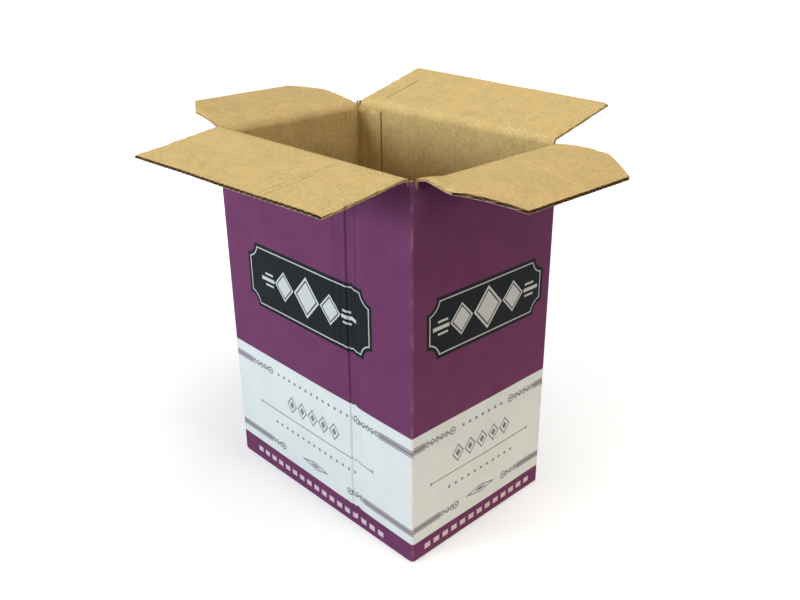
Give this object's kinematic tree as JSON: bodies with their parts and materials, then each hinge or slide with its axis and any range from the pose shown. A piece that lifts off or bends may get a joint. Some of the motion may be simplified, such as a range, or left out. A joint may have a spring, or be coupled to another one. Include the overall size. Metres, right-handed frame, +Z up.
{
  "type": "single wall cardboard box",
  "caption": "Upright slotted case in single wall corrugated board, printed in purple and white outside, with four hinged top flaps standing open.",
  "frame": {"origin": "centre of the base, on the surface that the box stands on", "axes": "+Z up; X along the long walls; the front wall, with the crushed line, faces -Y"},
  "size_m": [0.4024, 0.323, 0.3541],
  "materials": {
    "printed_board": "matt print on coated board, kraft inside",
    "kraft_board": "bare kraft board"
  },
  "bodies": {
    "box": {"box_body": "printed_board"},
    "front": {"front_flap": "kraft_board"},
    "back": {"back_flap": "kraft_board"},
    "right": {"right_flap": "kraft_board"},
    "left": {"left_flap": "kraft_board"}
  },
  "joints": [
    {"name": "front_fold", "type": "hinge", "parent": "box", "child": "front", "pos_m": [0, -0.0835, 0.33], "axis": [-1, 0, 0], "range_deg": [-76.5, 185.5]},
    {"name": "back_fold", "type": "hinge", "parent": "box", "child": "back", "pos_m": [0, 0.0835, 0.33], "axis": [1, 0, 0], "range_deg": [-97.5, 164.5]},
    {"name": "right_fold", "type": "hinge", "parent": "box", "child": "right", "pos_m": [0.1215, 0, 0.3267], "axis": [0, -1, 0], "range_deg": [-77.5, 184.5]},
    {"name": "left_fold", "type": "hinge", "parent": "box", "child": "left", "pos_m": [-0.1215, 0, 0.3267], "axis": [0, 1, 0], "range_deg": [-89, 173]}
  ]
}
